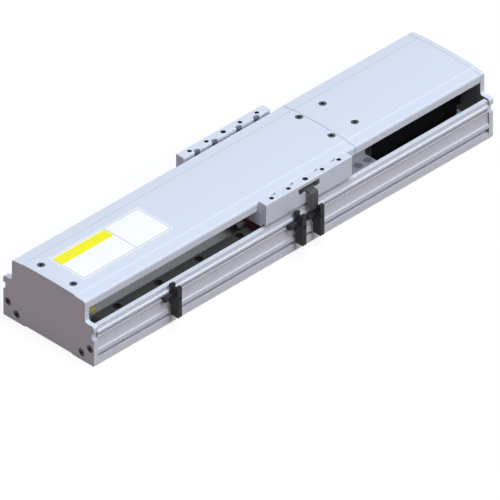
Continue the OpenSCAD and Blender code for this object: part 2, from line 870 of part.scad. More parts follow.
// Large end at z = 0, common point on +z at the given distance
module bevel_gear(teeth, r, apex, tip, root, back, bore) {
    difference() {
        union() {
            linear_extrude(apex * (1 - bevel_small), scale = bevel_small)
                bevel_profile(teeth, r, tip, root);
            translate([0, 0, -back]) cylinder(r = r - root - 1, h = back + 0.5);
        }
        translate([0, 0, -deep / 2]) cylinder(d = bore + 2 * shaft_fit, h = deep);
    }
}

module bevel_wheel() {
    color(colour_steel) translate([drive_x, pinion_r, axis_z]) rotate([90, 0, 0])
        bevel_gear(wheel_teeth, wheel_r, pinion_r, 1.5, 2.6, wheel_back, shaft_d);
}

module bevel_pinion() {
    color(colour_steel) translate([drive_x + wheel_r, 0, axis_z]) rotate([0, -90, 0])
        bevel_gear(pinion_teeth, pinion_r, wheel_r, 1.5, 1.9, pinion_back, motor_shaft_d);
}

module motor_shaft() {
    color(colour_steel) translate([0, 0, axis_z])
        rod_x(motor_shaft_d, drive_x + wheel_r - bevel_face, body_x0 + 6);
}

module motor_outline(w, corner) {
    hull() for (y = [-1, 1], z = [-1, 1])
        translate([y * (w / 2 - corner), axis_z + z * (w / 2 - corner)]) circle(corner, $fn = 24);
}

module motor_flange() {
    color(colour_housing) difference() {
        along_x(motor_x0, body_x0) difference() {
            motor_outline(motor_w, 2);
            translate([0, axis_z]) for (a = [0 : 90 : 270]) rotate(a)
                translate([motor_w / 2 - flange_notch, -flange_notch_half])
                    square([flange_notch + 1, 2 * flange_notch_half]);
        }
        translate([0, 0, axis_z]) rod_x(motor_shaft_d + 3, motor_x0 - 1, body_x0 + 1);
        for (y = [-motor_bolt, motor_bolt], z = [-motor_bolt, motor_bolt])
            translate([0, y, axis_z + z]) rod_x(bolt_d + head_play, motor_x0 - 1, body_x0 + 1);
    }
}

module motor_body() {
    color(colour_black) difference() {
        along_x(body_x0, body_x1) motor_outline(motor_w, motor_corner);
        translate([0, 0, axis_z]) rod_x(motor_shaft_d + 2 * shaft_fit, body_x0 - 1, body_x0 + 7);
        for (y = [-1, 1], z = [-1, 1])
            translate([body_x0, y * motor_w / 2, axis_z + z * motor_w / 2])
                rotate([0, 90, 0]) cylinder(r = motor_pocket_r, h = motor_pocket_len);
    }
}

module encoder_cap() {
    color(colour_black) difference() {
        along_x(body_x1, encoder_x1) motor_outline(motor_w - encoder_in, motor_corner);
        translate([encoder_x1 - encoder_step, -deep / 2, 0]) cube([deep, deep, encoder_step_z]);
    }
}

module motor_screws() {
    color(colour_steel) for (y = [-motor_bolt, motor_bolt], z = [-motor_bolt, motor_bolt])
        translate([body_x0, y, axis_z + z]) rotate([0, 90, 0])
            socket_screw(small_head_d, head_h, bolt_d, motor_flange_t + 5.5);
}

// The belt's loop, seen along the pulleys' axes
module belt_loop(r) {
    translate([idler_x, axis_z]) circle(r, $fn = 96);
    translate([drive_x, axis_z]) circle(r, $fn = 96);
    translate([idler_x, axis_z - r]) square([drive_x - idler_x, 2 * r]);
}

tooth_count = floor((drive_x - idler_x - 2 * tooth_clear) / belt_pitch);
tooth_x0 = (drive_x + idler_x) / 2 - (tooth_count - 1) * belt_pitch / 2;

module drive_belt() {
    color(colour_black) translate([0, belt_w / 2, 0]) rotate([90, 0, 0]) linear_extrude(belt_w) {
        difference() {
            belt_loop(back_r);
            belt_loop(land_r);
        }
        for (i = [0 : tooth_count - 1], s = [-1, 1])
            translate([tooth_x0 + i * belt_pitch, axis_z + s * land_r]) {
                translate([-tooth_w / 2, s > 0 ? tooth_w / 2 - tooth_h : -eps])
                    square([tooth_w, tooth_h - tooth_w / 2 + eps]);
                translate([0, -s * (tooth_h - tooth_w / 2)]) circle(tooth_w / 2, $fn = 16);
            }
    }
}

belt_groove_half = belt_w / 2 + 0.4;
belt_groove_z = axis_z + land_r - tooth_h - run_gap;

module belt_clamp() {
    color(colour_steel) translate([carriage_x, 0, 0]) difference() {
        union() {
            translate([-clamp_len / 2, -clamp_half, slab_top])
                cube([clamp_len, 2 * clamp_half, clamp_h]);
            translate([-clamp_len / 2, run_gap - belt_groove_half, run_top + run_gap])
                cube([clamp_len, 2 * (belt_groove_half - run_gap), slab_over]);
        }
        for (x = [-clamp_bolt_x, 0, clamp_bolt_x], y = [-clamp_bolt_y, clamp_bolt_y])
            translate([x, y, 0]) rod_z(bolt_d + head_play, slab_top - 1, clamp_top_z + 1);
    }
}

module clamp_screws() {
    color(colour_black) for (x = [-clamp_bolt_x, 0, clamp_bolt_x], s = [-1, 1])
        translate([carriage_x + x, s * clamp_bolt_y, clamp_top_z])
            socket_screw(small_head_d, head_h, bolt_d, clamp_top_z - slab_top + 7);
}

// The carriage's section: the plate runs under the covers' lips, the wings rise outside
module carriage_section() {
    polygon(mirrored([
        [slab_foot, slab_z], [slab_foot + 0.4, slab_z + 0.4],
        [slab_foot + 0.4, wing_foot_z], [wing_out, wing_foot_z],
        [wing_out, crown_z - edge_chamfer], [wing_out - edge_chamfer, crown_z],
        [wing_in + edge_chamfer, crown_z], [wing_in, crown_z - edge_chamfer],
        [wing_in, raised_z], [raised_in, raised_z], [raised_in, slab_top],
        [belt_groove_half, slab_top], [belt_groove_half, belt_groove_z]
    ]));
}

bolt_xs = [for (b = [-1, 1], k = [-1, 1]) b * block_pitch / 2 + k * block_bolt_pitch / 2];
bolt_ys = [for (s = [-1, 1], k = [-1, 1]) s * rail_y + k * block_bolt_pitch / 2];

// A blind hole from z = 0 down, with a chamfered mouth
module mouthed_hole(d, depth) {
    rod_z(d, -depth, 1);
    translate([0, 0, -hole_mouth]) cylinder(d1 = d, d2 = d + 4 * hole_mouth, h = 2 * hole_mouth);
}

module carriage() {
    color(colour_plate) difference() {
        translate([carriage_x, 0, 0]) along_x(-carriage_len / 2, carriage_len / 2)
            carriage_section();
        translate([carriage_x, 0, 0]) {
            for (x = bolt_xs, y = bolt_ys) translate([x, y, 0]) {
                rod_z(bolt_d + head_play, slab_z - 1, slab_top + 1);
                rod_z(bolt_cut_d, slab_z + bolt_seat, crown_z + 1);
            }
            for (k = [-2, -1, 1, 2], s = [-1, 1])
                translate([k * wing_hole_pitch, s * wing_hole_y, crown_z])
                    mouthed_hole(wing_hole_d, wing_hole_depth);
            for (s = [-1, 1]) translate([0, s * wing_hole_y, crown_z])
                mouthed_hole(dowel_d, dowel_depth);
            for (x = [-clamp_bolt_x, 0, clamp_bolt_x], y = [-clamp_bolt_y, clamp_bolt_y])
                translate([x, y, slab_top]) rod_z(bolt_d + shaft_fit, -7.5, 1);
            translate([-pocket_half, -wing_out - 1, pocket_z[0]])
                cube([2 * pocket_half, pocket_d + 1, pocket_z[1] - pocket_z[0]]);
            for (s = [-1, 1]) translate([s * flag_screw_x, 0, flag_screw_z])
                rod_y(flag_screw_d + shaft_fit, -wing_out, -wing_out + pocket_d + 4.5);
        }
    }
}

// One guide block on a rail; its body is open below, round the rail's head
module guide_block(x, y) {
    translate([carriage_x + x, y, 0]) difference() {
        along_x(-block_body_len / 2, block_body_len / 2) block_section(0);
        for (bx = [-1, 1], by = [-1, 1])
            translate([bx * block_bolt_pitch / 2, by * block_bolt_pitch / 2, slab_z])
                rod_z(bolt_d + shaft_fit, -bolt_grip + bolt_seat - 4, 1);
        for (s = [-1, 1]) translate([s * block_body_len / 2, y > 0 ? stud_off : -stud_off, stud_z])
            rod_x(stud_thread_d + shaft_fit, -stud_grip - 0.5, stud_grip);
    }
}

stud_off = stud_y - rail_y;

module block_section(inset) {
    top = slab_z - 2 * inset;
    difference() {
        polygon(mirrored([
            [block_w / 2 - 3 - inset, block_z + inset],
            [block_w / 2 - inset, block_z + 4 + inset], [block_w / 2 - inset, top - 1],
            [block_w / 2 - 1 - inset, top]
        ]));
        translate([0, bed_z]) rail_section(run_gap);
    }
}

module front_left_block() {
    color(colour_steel) guide_block(-block_pitch / 2, -rail_y);
}

module front_right_block() {
    color(colour_steel) guide_block(block_pitch / 2, -rail_y);
}

module back_left_block() {
    color(colour_steel) guide_block(-block_pitch / 2, rail_y);
}

module back_right_block() {
    color(colour_steel) guide_block(block_pitch / 2, rail_y);
}

module block_end_caps() {
    color(colour_cap) for (b = [-1, 1], e = [-1, 1], s = [-1, 1])
        translate([carriage_x + b * block_pitch / 2 + e * (block_len - block_cap_t) / 2, s * rail_y, 0])
            difference() {
                along_x(-block_cap_t / 2, block_cap_t / 2) block_section(0.3);
                if (b == e) translate([0, s * stud_off, stud_z])
                    rod_x(stud_thread_d + head_play, -block_cap_t, block_cap_t);
            }
}

module block_screws() {
    color(colour_black) for (x = bolt_xs, y = bolt_ys)
        translate([carriage_x + x, y, slab_z + bolt_seat])
            socket_screw(bolt_head_d, head_h, bolt_d, bolt_grip + 1.5);
}

module stop_studs() {
    color(colour_steel) translate([carriage_x, 0, 0]) for (e = [0, 1], s = [-1, 1])
        translate([0, s * stud_y, stud_z]) mirror([1 - e, 0, 0])
            translate([block_pitch / 2 + block_len / 2, 0, 0]) {
                rod_x(stud_d, 0, stud_len[e]);
                rod_x(stud_thread_d, -block_cap_t - stud_grip, eps);
            }
}

flag_screw_x = 11;
flag_screw_d = 3;
flag_screw_z = (pocket_z[0] + pocket_z[1]) / 2;
flag_base_y = -wing_out + pocket_d;

// The flag's bent arm, seen along the axis
module flag_arm() {
    y0 = flag_y - flag_t / 2;
    y1 = flag_base_y - flag_t;
    top = flag_arm_z + flag_t;
    translate([y0, flag_z]) square([flag_t, top - flag_bend - flag_z + eps]);
    translate([y0 + flag_bend - eps, flag_arm_z])
        square([y1 - y0 - 2 * flag_bend + flag_t + 2 * eps, flag_t]);
    translate([y0 + flag_bend, top - flag_bend]) rotate(90) quarter_ring();
    translate([y1 - flag_bend + flag_t, flag_arm_z + flag_bend]) rotate(-90) quarter_ring();
    translate([y1, flag_arm_z + flag_bend - eps])
        square([flag_t, pocket_z[1] - 0.4 - flag_arm_z - flag_bend + eps]);
}

module quarter_ring() {
    difference() {
        intersection() {
            circle(flag_bend);
            square(flag_bend);
        }
        circle(flag_bend - flag_t);
    }
}

module sensor_flag() {
    color(colour_black) translate([carriage_x, 0, 0]) difference() {
        union() {
            translate([-pocket_half + 0.4, flag_base_y - flag_t, pocket_z[0] + 0.4])
                cube([2 * pocket_half - 0.8, flag_t, pocket_z[1] - pocket_z[0] - 0.8]);
            along_x(-flag_w / 2, flag_w / 2) flag_arm();
        }
        for (s = [-1, 1]) translate([s * flag_screw_x, 0, flag_screw_z])
            rod_y(flag_screw_d + 0.3, flag_base_y - deep, flag_base_y + 1);
    }
}

module flag_screws() {
    color(colour_steel) for (s = [-1, 1])
        translate([carriage_x + s * flag_screw_x, flag_base_y - flag_t, flag_screw_z])
            rotate([90, 0, 0]) socket_screw(5.4, 1.6, flag_screw_d, flag_t + 4);
}

// Fork sensor: two prongs above, a slimmer foot below, a cable outlet at its side
module fork_sensor(x) {
    slot_y = flag_y - sensor_gap / 2;
    translate([x, 0, 0]) difference() {
        union() {
            translate([0, sensor_y - sensor_d, sensor_step_z])
                cube([sensor_t, sensor_d, sensor_z + sensor_h - sensor_step_z]);
            translate([0, sensor_y - sensor_d, sensor_z])
                cube([sensor_t, sensor_d - sensor_foot_in, sensor_step_z - sensor_z + eps]);
            translate([0, sensor_y - stub_d / 2, stub_z]) rod_x(stub_d, -stub_len, eps);
        }
        translate([-1, slot_y, sensor_slot_z]) cube([sensor_t + 2, sensor_gap, deep]);
        translate([sensor_t / 2, 0, sensor_screw_z]) {
            rod_y(sensor_screw_d + 0.3, sensor_y - sensor_d - 1, sensor_y + 1);
            rod_y(sensor_head_d + 0.3, sensor_y - sensor_d - 1, sensor_y - sensor_d + 3);
        }
    }
}

sensor_screw_z = high_slot_z + high_slot_mouth / 2;
sensor_screw_d = 2;
sensor_head_d = 3.6;
sensor_xs = [left_sensor_x, middle_sensor_x, right_sensor_x];

module left_sensor() {
    color(colour_black) fork_sensor(left_sensor_x);
}

module middle_sensor() {
    color(colour_black) fork_sensor(middle_sensor_x);
}

module right_sensor() {
    color(colour_black) fork_sensor(right_sensor_x);
}

module sensor_screws() {
    color(colour_steel) for (x = sensor_xs)
        translate([x + sensor_t / 2, sensor_y - sensor_d + 3, sensor_screw_z]) rotate([90, 0, 0])
            socket_screw(sensor_head_d, 2, sensor_screw_d, sensor_d - 3 + high_lip + 2.4);
}

module sensor_slot_nuts() {
    y0 = -half_w + high_lip;
    color(colour_steel) for (x = sensor_xs)
        translate([x + sensor_t / 2, 0, sensor_screw_z]) difference() {
            union() {
                translate([-nut_len / 2, y0 + eps, -high_cavity_h / 2 + 0.3])
                    cube([nut_len, high_cavity_d - 0.6, high_cavity_h - 0.6]);
                translate([-nut_len / 2, sensor_y, -high_slot_mouth / 2 + 0.15])
                    cube([nut_len, y0 - sensor_y + 1, high_slot_mouth - 0.3]);
            }
            rod_y(sensor_screw_d + shaft_fit, -half_w - 2, -half_w + 10);
        }
}

base_profile();
left_end_plate();
right_end_plate();
left_plate_screws();
right_plate_screws();
main_cover();
motor_cover();
cover_screws();
front_rail();
back_rail();
rail_screws();
idler_housing();
idler_housing_screws();
tension_screws();
idler_bearings();
idler_shaft();
idler_pulley();
end_bumpers();
drive_housing();
drive_housing_screws();
drive_bearings();
drive_shaft();
drive_pulley();
bevel_wheel();
bevel_pinion();
motor_shaft();
motor_flange();
motor_body();
encoder_cap();
motor_screws();
drive_belt();
belt_clamp();
clamp_screws();
carriage();
front_left_block();
front_right_block();
back_left_block();
back_right_block();
block_end_caps();
block_screws();
stop_studs();
sensor_flag();
flag_screws();
left_sensor();
middle_sensor();
right_sensor();
sensor_screws();
sensor_slot_nuts();
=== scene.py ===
import json
import math
import bpy
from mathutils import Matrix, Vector


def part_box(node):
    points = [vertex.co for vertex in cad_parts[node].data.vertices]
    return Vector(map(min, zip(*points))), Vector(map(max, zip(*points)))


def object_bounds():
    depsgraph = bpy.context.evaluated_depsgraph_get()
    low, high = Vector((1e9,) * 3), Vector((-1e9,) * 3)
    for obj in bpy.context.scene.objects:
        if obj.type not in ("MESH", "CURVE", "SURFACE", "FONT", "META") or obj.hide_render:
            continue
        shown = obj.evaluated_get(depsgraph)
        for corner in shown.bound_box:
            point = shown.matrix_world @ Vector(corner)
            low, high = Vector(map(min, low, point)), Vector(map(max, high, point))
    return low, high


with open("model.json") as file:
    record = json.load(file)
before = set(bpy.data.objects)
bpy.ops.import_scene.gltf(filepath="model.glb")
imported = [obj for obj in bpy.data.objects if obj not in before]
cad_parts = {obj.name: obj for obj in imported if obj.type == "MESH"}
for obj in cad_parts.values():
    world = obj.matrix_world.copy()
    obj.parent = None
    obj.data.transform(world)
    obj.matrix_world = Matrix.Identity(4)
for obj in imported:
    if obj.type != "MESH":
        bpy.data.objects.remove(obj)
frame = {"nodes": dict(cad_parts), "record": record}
cadLow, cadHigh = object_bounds()
mm = 0.001
print("frame loaded:", len(frame["nodes"]), "nodes")


# one number running through a node tree: arithmetic on it adds Math nodes
class Wire:
    def __init__(self, graph, socket):
        self.graph = graph
        self.socket = socket

    def combine(self, operation, *values):
        return self.graph.number("ShaderNodeMath", {"operation": operation}, dict(enumerate(values)))

    def __add__(self, other): return self.combine("ADD", self, other)
    def __radd__(self, other): return self.combine("ADD", other, self)
    def __sub__(self, other): return self.combine("SUBTRACT", self, other)
    def __rsub__(self, other): return self.combine("SUBTRACT", other, self)
    def __mul__(self, other): return self.combine("MULTIPLY", self, other)
    def __rmul__(self, other): return self.combine("MULTIPLY", other, self)
    def __truediv__(self, other): return self.combine("DIVIDE", self, other)
    def __rtruediv__(self, other): return self.combine("DIVIDE", other, self)
    def size(self): return self.combine("ABSOLUTE", self)
    def nearest(self): return self.combine("ROUND", self)
    def clipped(self): return self.combine("MINIMUM", self.combine("MAXIMUM", self, 0.0), 1.0)

    def step(self, width):
        # climbs from 0 to 1 while the number goes from 0 to width
        return (self * (1 / width)).clipped()


# a node tree that is filled through one method
class Graph:
    def __init__(self, tree):
        self.tree = tree
        tree.nodes.clear()

    def node(self, kind, settings=None, inputs=None):
        made = self.tree.nodes.new(kind)
        for key, value in (settings or {}).items():
            setattr(made, key, value)
        for key, value in (inputs or {}).items():
            self.plug(made.inputs[key], value)
        return made

    def plug(self, socket, value):
        if isinstance(value, Wire):
            value = value.socket
        if isinstance(value, bpy.types.NodeSocket):
            self.tree.links.new(value, socket)
        elif socket.type == "RGBA":
            socket.default_value = (*value, 1)
        else:
            socket.default_value = value

    def number(self, kind, settings=None, inputs=None, output=0):
        return Wire(self, self.node(kind, settings, inputs).outputs[output])


# a graph that belongs to one material and ends in its shader
class Shader(Graph):
    def __init__(self, name, **fixed):
        self.material = bpy.data.materials.new(name)
        self.material.use_nodes = True
        super().__init__(self.material.node_tree)
        self.surface = self.node("ShaderNodeBsdfPrincipled")
        self.output = self.node("ShaderNodeOutputMaterial", None, {"Surface": self.surface.outputs[0]})
        for key, value in fixed.items():  # constants go straight onto the shader's own sockets
            self.feed(key.replace("_", " "), value)

    def feed(self, name, value):
        self.plug(self.surface.inputs[name], value)

    def place(self, stretch=(1, 1, 1)):
        spot = self.node("ShaderNodeTexCoord").outputs["Object"]
        settings = {"operation": "MULTIPLY"}
        return self.node("ShaderNodeVectorMath", settings, {0: spot, 1: stretch}).outputs[0]

    def axes(self):
        split = self.node("ShaderNodeSeparateXYZ", None, {0: self.place()})
        return [Wire(self, split.outputs[i]) for i in range(3)]

    def noise(self, scale, detail=3.0, rough=0.55, stretch=(1, 1, 1)):
        inputs = {"Vector": self.place(stretch), "Scale": scale, "Detail": detail, "Roughness": rough}
        return self.number("ShaderNodeTexNoise", None, inputs)

    def blend(self, factor, low, high):
        settings = {"data_type": "RGBA", "clamp_factor": True}
        return self.node("ShaderNodeMix", settings, {0: factor, 6: low, 7: high}).outputs[2]

    def mottled(self, factor, colour, tints):
        # one colour, darker and lighter as the factor goes from 0 to 1
        return self.blend(factor, tinted(colour, tints[0]), tinted(colour, tints[1]))

    def softNormal(self, radius, samples=8):
        return self.node("ShaderNodeBevel", {"samples": samples}, {"Radius": radius}).outputs[0]

    def edgeMask(self, radius, gain=5.0):
        # 1 where the rounded normal leaves the flat one, so along the outer and inner edges
        flat = self.node("ShaderNodeNewGeometry").outputs["Normal"]
        inputs = {0: self.softNormal(radius), 1: flat}
        facing = self.number("ShaderNodeVectorMath", {"operation": "DOT_PRODUCT"}, inputs, "Value")
        return ((1 - facing) * gain).clipped()

    def bump(self, height, strength, distance, normal=None):
        inputs = {"Height": height, "Strength": strength, "Distance": distance}
        if normal is not None:
            inputs["Normal"] = normal
        self.feed("Normal", self.node("ShaderNodeBump", None, inputs).outputs[0])


def tinted(colour, factor):
    return tuple(min(1.0, c * factor) for c in colour)


# widths over which a painted border changes, and the same for squared distances
border = {"crisp": 0.01 * mm, "line": 0.125 * mm, "boreSquared": 1e-9}

# drawn and anodised aluminium, smoother along its broken edges, with a painted highlight along its edges
anodised = {
    "colour": (0.735, 0.79, 0.88), "tints": (0.92, 1.08), "metal": 0.12, "rough": 0.4,
    "lines": (40, 4, 0.6), "cloud": (9, 2, 0.5), "cloudShare": 0.05,
    "edge": 0.45 * mm, "edgeHighlightColour": (0.97, 0.985, 1.0), "edgeHighlightShare": 0.85, "edgePolish": 0.1,
    "pits": (900, 3, 0.6), "pitStrength": 0.05, "pitDepth": 0.02 * mm,
}
plateGrain = {"stretch": (6, 60, 60), "share": 0.05, "roughShare": 0.14}
profileGrain = {"stretch": (4, 90, 90), "share": 0.08, "roughShare": 0.16}
silver = anodised["colour"]


def boreMask(made, bores):
    # 1 inside two rows of upright bores: near a bore's axis and below the face it opens in
    x, y, z = made.axes()
    along = ((x - bores["centre"]).size() - bores["first"]) / bores["pitch"]
    dx = (along - along.nearest()) * bores["pitch"]
    dy = y.size() - bores["row"]
    inside = (bores["radius"] ** 2 - dx * dx - dy * dy).step(border["boreSquared"])
    return inside * ((bores["top"] - z) / bores["fade"]).clipped()


def creaseLine(made, crease):
    # 1 along the crease on the far side, the only one that shades itself
    return (crease["width"] - (made.axes()[1] - crease["place"]).size()).step(border["line"])


def creaseZone(made, crease):
    # 1 beside both creases, where the painted edge highlight is held back
    return (crease["zone"] - (made.axes()[1].size() - crease["place"]).size()).step(border["line"])


def seamMask(made, seam):
    # 1 in a hairline across the axis, where a cover meets the next piece
    return (seam["width"] - (made.axes()[0] - seam["place"]).size()).step(border["line"])


def faceMask(made, face):
    # 1 on the plate's left face, up to a thin layer behind it
    return (face["place"] + face["layer"] - made.axes()[0]).step(border["crisp"])


def gapMask(made, gap):
    # grows down the wings' inner faces, where the covers' edges shade them
    x, y, z = made.axes()
    near = (gap["row"] - y.size()).step(border["crisp"]) * (y.size() - gap["inner"]).step(border["crisp"])
    down = sum((layer["top"] - z).step(layer["fade"]) * layer["share"] for layer in gap["layers"])
    return near * down * (z - gap["low"]).step(border["crisp"])


# blank film on the main cover: white, with a thin frame, a split and one plain yellow band
film = {
    "left": -272.0 * mm, "right": -138.6 * mm, "half": 27.7 * mm, "above": 70 * mm,
    "inset": 2.4 * mm, "line": 0.6 * mm, "split": -192.0 * mm, "rim": 0.25 * mm,
    "band": (8 * mm, 22.5 * mm), "bandInset": 1 * mm,
    "white": (0.97, 0.975, 0.98), "grey": (0.20, 0.21, 0.21), "yellow": (0.95, 0.90, 0.02),
    # the grey rim at the film's outer edge is painted shade
    "edgeShadeGrey": (0.22, 0.24, 0.26),
}


def patchMask(made, x0, x1, y0, y1):
    # 1 over an upright box
    x, y, z = made.axes()
    crisp = border["crisp"]
    return (x - x0).step(crisp) * (x1 - x).step(crisp) * (y - y0).step(crisp) * (y1 - y).step(crisp)


def frameMask(made, x0, x1, y0, y1, width):
    inside = patchMask(made, x0 + width, x1 - width, y0 + width, y1 - width)
    return patchMask(made, x0, x1, y0, y1) * (1 - inside)


def filmLayers(made):
    # every area of the film as its mask and colour, from the sheet upward
    left, right, half = film["left"], film["right"], film["half"]
    x0, x1, y1 = left + film["inset"], right - film["inset"], half - film["inset"]
    split, line, gap = film["split"], film["line"], film["bandInset"]
    top = (made.axes()[2] - film["above"]).step(border["crisp"])
    return [
        (patchMask(made, left, right, -half, half) * top, film["white"]),
        # painted shade along the film's outer edge
        (frameMask(made, left, right, -half, half, film["rim"]) * top, film["edgeShadeGrey"]),
        (frameMask(made, x0, x1, -y1, y1, line) * top, film["grey"]),
        (patchMask(made, split, split + line, -y1, y1) * top, film["grey"]),
        (patchMask(made, x0 + gap, split - gap, *film["band"]) * top, film["yellow"]),
    ]


def drawnPaint(made, colour, grain):
    # fine lines along the axis over a faint cloudiness
    lines = made.noise(*anodised["lines"], grain["stretch"])
    cloud = made.noise(*anodised["cloud"])
    shade = (lines - 0.5) * grain["share"] + (cloud - 0.5) * anodised["cloudShare"] + 0.5
    return lines, made.mottled(shade, colour, anodised["tints"])


def pitted(made):
    soft = made.softNormal(anodised["edge"])
    made.bump(made.noise(*anodised["pits"]), anodised["pitStrength"], anodised["pitDepth"], soft)


def anodisedPlate(name, bores=(), seams=(), crease=None, gap=None, face=None, label=False):
    made = Shader(name)
    lines, paint = drawnPaint(made, silver, plateGrain)
    edge = made.edgeMask(anodised["edge"])
    if crease:
        edge = edge * (1 - creaseZone(made, crease) * crease["calm"])
    # painted highlight: the edges are coloured lighter
    paint = made.blend(edge * anodised["edgeHighlightShare"], paint, anodised["edgeHighlightColour"])
    if crease:
        # painted shade line along the far crease
        paint = made.blend(creaseLine(made, crease) * crease["share"], paint, tinted(silver, crease["tint"]))
    if gap:
        paint = made.blend(gapMask(made, gap), paint, gap["shade"])
    for seam in seams:
        paint = made.blend(seamMask(made, seam) * seam["share"], paint, seam["shade"])
    # painted shade on one face of an end plate
    if face:
        paint = made.blend(faceMask(made, face) * face["share"], paint, face["shade"])
    for row in bores:
        paint = made.blend(boreMask(made, row), paint, row["shade"])
    bare = 1 - edge
    if label:
        layers = filmLayers(made)
        for mask, ink in layers:
            paint = made.blend(mask, paint, ink)
        bare = bare * (1 - layers[0][0])
    made.feed("Base Color", paint)
    made.feed("Metallic", bare * anodised["metal"])
    polish = edge * anodised["edgePolish"]
    made.feed("Roughness", anodised["rough"] + (lines - 0.5) * plateGrain["roughShare"] - polish)
    pitted(made)
    return made.material


def anodisedExtrusion(name, colour, channel):
    # drawn lines again, with painted light in the channel between the rails: it is coloured brighter than the
    # profile
    made = Shader(name)
    lines, paint = drawnPaint(made, colour, profileGrain)
    y, z = made.axes()[1:]
    channelLit = (channel["row"] - y.size()).step(border["crisp"]) * (z - channel["low"]).step(border["crisp"])
    paint = made.blend(channelLit, paint, channel["colour"])
    # painted highlight along the edges, left out of the channel
    edge = made.edgeMask(anodised["edge"]) * anodised["edgeHighlightShare"] * (1 - channelLit)
    made.feed("Base Color", made.blend(edge, paint, anodised["edgeHighlightColour"]))
    made.feed("Metallic", (1 - channelLit) * anodised["metal"])
    made.feed("Roughness", anodised["rough"] + (lines - 0.5) * profileGrain["roughShare"])
    pitted(made)
    return made.material


steel = {
    "tints": (0.85, 1.12), "marks": (260, 4, 0.65), "blotch": (30, 3, 0.5), "roughShare": 0.2,
    "edge": 0.2 * mm, "markStrength": 0.08, "markDepth": 0.03 * mm,
}


def markedSteel(made, paint, marks, rough):
    made.feed("Base Color", paint)
    made.feed("Roughness", rough + (marks - 0.5) * steel["roughShare"])
    made.bump(marks, steel["markStrength"], steel["markDepth"], made.softNormal(steel["edge"]))
    return made.material


def groundSteel(name, colour, rough, metal, stretch=(1, 1, 1), bores=()):
    made = Shader(name, Metallic=metal)
    marks = made.noise(*steel["marks"], stretch)
    paint = made.mottled(made.noise(*steel["blotch"]), colour, steel["tints"])
    for row in bores:
        paint = made.blend(boreMask(made, row), paint, row["shade"])
    return markedSteel(made, paint, marks, rough)


# oxide blacking, and the painted shade for rims and sockets
blackingAndShade = {"metal": 0.25, "rim": 0.7 * mm, "rimGain": 8, "shade": (0.004, 0.004, 0.005)}


def blackedSteel(name, colour, rough, socketTop=None):
    # oxide-blacked steel, with painted shade along the rim and down in the socket
    made = Shader(name, Metallic=blackingAndShade["metal"])
    marks = made.noise(*steel["marks"])
    paint = made.mottled(made.noise(*steel["blotch"]), colour, steel["tints"])
    paint = made.blend(made.edgeMask(blackingAndShade["rim"], blackingAndShade["rimGain"]), paint, blackingAndShade["shade"])
    if socketTop:
        paint = made.blend((socketTop - made.axes()[2]).step(border["line"]), paint, blackingAndShade["shade"])
    return markedSteel(made, paint, marks, rough)


plastic = {
    "shine": 0.4, "tints": (0.88, 1.12), "pebbles": (700, 2, 0.5), "cloud": (45, 2, 0.5), "roughShare": 0.16,
    "edge": 0.25 * mm, "pebbleStrength": 0.12, "pebbleDepth": 0.03 * mm,
}


def mouldedPlastic(name, colour, rough):
    made = Shader(name, Metallic=0.0, Specular_IOR_Level=plastic["shine"])
    pebbles = made.noise(*plastic["pebbles"])
    made.feed("Base Color", made.mottled(made.noise(*plastic["cloud"]), colour, plastic["tints"]))
    made.feed("Roughness", rough + (pebbles - 0.5) * plastic["roughShare"])
    soft = made.softNormal(plastic["edge"])
    made.bump(pebbles, plastic["pebbleStrength"], plastic["pebbleDepth"], soft)
    return made.material


coat = {
    "tints": (0.85, 1.15), "peel": (420, 2, 0.45), "cloud": (25,), "roughShare": 0.12,
    "edge": 0.4 * mm, "peelStrength": 0.15, "peelDepth": 0.05 * mm,
}


def powderCoat(name, colour, rough, shine):
    made = Shader(name, Metallic=0.0, Specular_IOR_Level=shine)
    peel = made.noise(*coat["peel"])
    made.feed("Base Color", made.mottled(made.noise(*coat["cloud"]), colour, coat["tints"]))
    made.feed("Roughness", rough + (peel - 0.5) * coat["roughShare"])
    made.bump(peel, coat["peelStrength"], coat["peelDepth"], made.softNormal(coat["edge"]))
    return made.material


belt = {
    "low": (0.018, 0.018, 0.02), "high": (0.05, 0.05, 0.052), "shine": 0.3, "rough": 0.7, "roughShare": 0.2,
    "weave": (1500, 2, 0.5, (1, 3, 1)), "weaveStrength": 0.25, "weaveDepth": 0.05 * mm,
}


def beltRubber(name):
    # woven cover on a moulded belt: fine cross ribs
    made = Shader(name, Metallic=0.0, Specular_IOR_Level=belt["shine"])
    weave = made.noise(*belt["weave"])
    made.feed("Base Color", made.blend(weave, belt["low"], belt["high"]))
    made.feed("Roughness", belt["rough"] + (weave - 0.5) * belt["roughShare"])
    made.bump(weave, belt["weaveStrength"], belt["weaveDepth"])
    return made.material


motor = {
    "colour": (0.0045, 0.0045, 0.005), "tints": (0.85, 1.15), "shine": 0.12,
    # the front face's grey is painted light
    "faceEnd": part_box("motor_body")[0][0] + 0.4 * mm, "faceLightColour": (0.12, 0.12, 0.125),
    "rough": 0.55, "roughShare": 0.15, "grain": (1400, 2, 0.5), "cloud": (25, 2, 0.5),
    "edge": 0.4 * mm, "grainStrength": 0.2, "grainDepth": 0.04 * mm,
}


def motorPaint(name):
    # painted light: the front face is coloured greyer than the painted sides, standing for the light that
    # falls on it
    made = Shader(name, Metallic=0.0, Specular_IOR_Level=motor["shine"])
    grain = made.noise(*motor["grain"])
    paint = made.mottled(made.noise(*motor["cloud"]), motor["colour"], motor["tints"])
    litFace = (motor["faceEnd"] - made.axes()[0]).step(border["crisp"])
    made.feed("Base Color", made.blend(litFace, paint, motor["faceLightColour"]))
    made.feed("Roughness", motor["rough"] + (grain - 0.5) * motor["roughShare"])
    made.bump(grain, motor["grainStrength"], motor["grainDepth"], made.softNormal(motor["edge"]))
    return made.material


